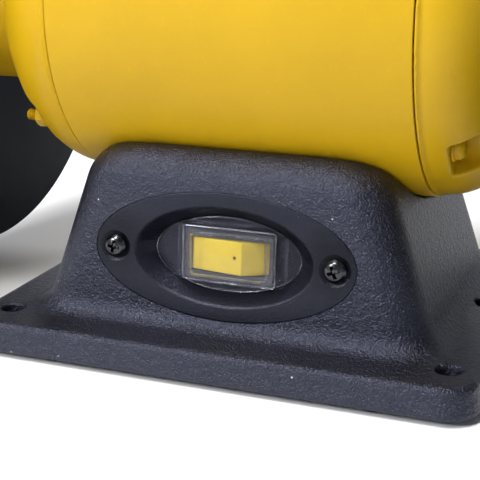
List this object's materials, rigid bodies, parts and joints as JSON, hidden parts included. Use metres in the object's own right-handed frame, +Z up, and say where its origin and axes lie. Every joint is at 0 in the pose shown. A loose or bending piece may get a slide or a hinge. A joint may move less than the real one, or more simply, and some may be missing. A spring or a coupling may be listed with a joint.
{
  "type": "bench grinder",
  "caption": "Double-ended bench grinder: induction motor on a hollow base with a rocker switch, guarded wheels, tool rests, spark arrestors and clear eye shields.",
  "frame": {"origin": "on the bench, under the middle of the whole machine", "axes": "+X along the shaft to the user's right, +Y away from the user, +Z up"},
  "size_m": [0.3736, 0.2248, 0.2273],
  "materials": {
    "base_paint": "fine textured navy-black powder coat",
    "motor_paint": "satin yellow enamel",
    "guard_paint": "smooth satin blue-black paint",
    "black_plastic": "fine-grained black moulding",
    "clear_boot": "clear flexible vinyl",
    "rocker_yellow": "satin yellow plastic",
    "black_screw": "black oxide",
    "zinc": "zinc-plated steel",
    "rubber": "matte black rubber",
    "abrasive_coarse": "coarse grey aluminium oxide in a ceramic bond",
    "abrasive_fine": "fine grey aluminium oxide in a ceramic bond",
    "shield_clear": "clear polycarbonate",
    "laminations": "stacked steel laminations",
    "copper": "varnished copper winding",
    "ground_steel": "ground bright steel",
    "cast_rest": "die-cast aluminium, lightly brushed on top"
  },
  "bodies": {
    "frame": {"base": "base_paint", "bottom_cover": "zinc", "capacitor": "black_plastic", "cord_gland": "black_plastic", "switch_plate": "black_plastic", "switch_body": "black_plastic", "plate_screw_left": "black_screw", "plate_screw_right": "black_screw", "switch_boot": "clear_boot", "foot_front_left": "rubber", "foot_front_right": "rubber", "foot_rear_left": "rubber", "foot_rear_right": "rubber", "motor_shell": "motor_paint", "end_bell_left": "motor_paint", "end_bell_right": "motor_paint", "through_bolt_lower_front": "motor_paint", "through_bolt_upper_front": "motor_paint", "through_bolt_lower_rear": "motor_paint", "through_bolt_upper_rear": "motor_paint", "stator_core": "laminations", "stator_winding_left": "copper", "stator_winding_right": "copper", "bearing_left": "ground_steel", "bearing_right": "ground_steel", "shield_bracket_left": "zinc", "guard_left": "guard_paint", "guard_cover_left": "guard_paint", "cover_screw_1_left": "black_screw", "cover_screw_2_left": "black_screw", "cover_screw_3_left": "black_screw", "shield_bracket_right": "zinc", "guard_right": "guard_paint", "guard_cover_right": "guard_paint", "cover_screw_1_right": "black_screw", "cover_screw_2_right": "black_screw", "cover_screw_3_right": "black_screw"},
    "rotor": {"shaft": "ground_steel", "rotor_core": "laminations", "grinding_wheel_left": "abrasive_coarse", "inner_flange_left": "zinc", "outer_flange_left": "zinc", "arbor_nut_left": "zinc", "grinding_wheel_right": "abrasive_fine", "inner_flange_right": "zinc", "outer_flange_right": "zinc", "arbor_nut_right": "zinc"},
    "rocker": {"rocker": "rocker_yellow"},
    "rest_arm_left": {"rest_bracket_left": "zinc"},
    "rest_left": {"tool_rest_left": "cast_rest"},
    "rest_knob_left": {"rest_knob_left": "black_plastic"},
    "spark_arrestor_left": {"spark_arrestor_left": "zinc"},
    "shield_left": {"eye_shield_left": "shield_clear"},
    "shield_knob_left": {"shield_knob_left": "black_plastic"},
    "rest_arm_right": {"rest_bracket_right": "zinc"},
    "rest_right": {"tool_rest_right": "cast_rest"},
    "rest_knob_right": {"rest_knob_right": "black_plastic"},
    "spark_arrestor_right": {"spark_arrestor_right": "zinc"},
    "shield_right": {"eye_shield_right": "shield_clear"},
    "shield_knob_right": {"shield_knob_right": "black_plastic"}
  },
  "joints": [
    {"name": "rotor_spin", "type": "hinge", "parent": "frame", "child": "rotor", "pos_m": [0, 0.01365, 0.1146], "axis": [1, 0, 0], "continuous": true},
    {"name": "rocker_tip", "type": "hinge", "parent": "frame", "child": "rocker", "pos_m": [0.001, -0.03545, 0.0364], "axis": [0, 0.0698, 0.9976], "range_deg": [0, 18]},
    {"name": "rest_slide_left", "type": "slide", "parent": "frame", "child": "rest_arm_left", "axis": [0, -1, 0], "range_m": [0, 0.012]},
    {"name": "rest_tilt_left", "type": "hinge", "parent": "rest_arm_left", "child": "rest_left", "pos_m": [-0.125, -0.09235, 0.1006], "axis": [1, 0, 0], "range_deg": [-5, 30]},
    {"name": "rest_knob_turn_left", "type": "hinge", "parent": "frame", "child": "rest_knob_left", "pos_m": [-0.112, -0.06835, 0.0826], "axis": [1, 0, 0], "continuous": true},
    {"name": "spark_slide_left", "type": "slide", "parent": "frame", "child": "spark_arrestor_left", "axis": [0, -0.6639, 0.7478], "range_m": [0, 0.008]},
    {"name": "shield_tilt_left", "type": "hinge", "parent": "frame", "child": "shield_left", "pos_m": [-0.125, -0.03835, 0.2186], "axis": [1, 0, 0], "range_deg": [-60, 0]},
    {"name": "shield_knob_turn_left", "type": "hinge", "parent": "frame", "child": "shield_knob_left", "pos_m": [-0.112, -0.03835, 0.2186], "axis": [1, 0, 0], "continuous": true},
    {"name": "rest_slide_right", "type": "slide", "parent": "frame", "child": "rest_arm_right", "axis": [0, -1, 0], "range_m": [0, 0.012]},
    {"name": "rest_tilt_right", "type": "hinge", "parent": "rest_arm_right", "child": "rest_right", "pos_m": [0.125, -0.09235, 0.1006], "axis": [1, 0, 0], "range_deg": [-5, 30]},
    {"name": "rest_knob_turn_right", "type": "hinge", "parent": "frame", "child": "rest_knob_right", "pos_m": [0.112, -0.06835, 0.0826], "axis": [1, 0, 0], "continuous": true},
    {"name": "spark_slide_right", "type": "slide", "parent": "frame", "child": "spark_arrestor_right", "axis": [0, -0.6639, 0.7478], "range_m": [0, 0.008]},
    {"name": "shield_tilt_right", "type": "hinge", "parent": "frame", "child": "shield_right", "pos_m": [0.125, -0.03835, 0.2186], "axis": [1, 0, 0], "range_deg": [-60, 0]},
    {"name": "shield_knob_turn_right", "type": "hinge", "parent": "frame", "child": "shield_knob_right", "pos_m": [0.112, -0.03835, 0.2186], "axis": [1, 0, 0], "continuous": true}
  ]
}
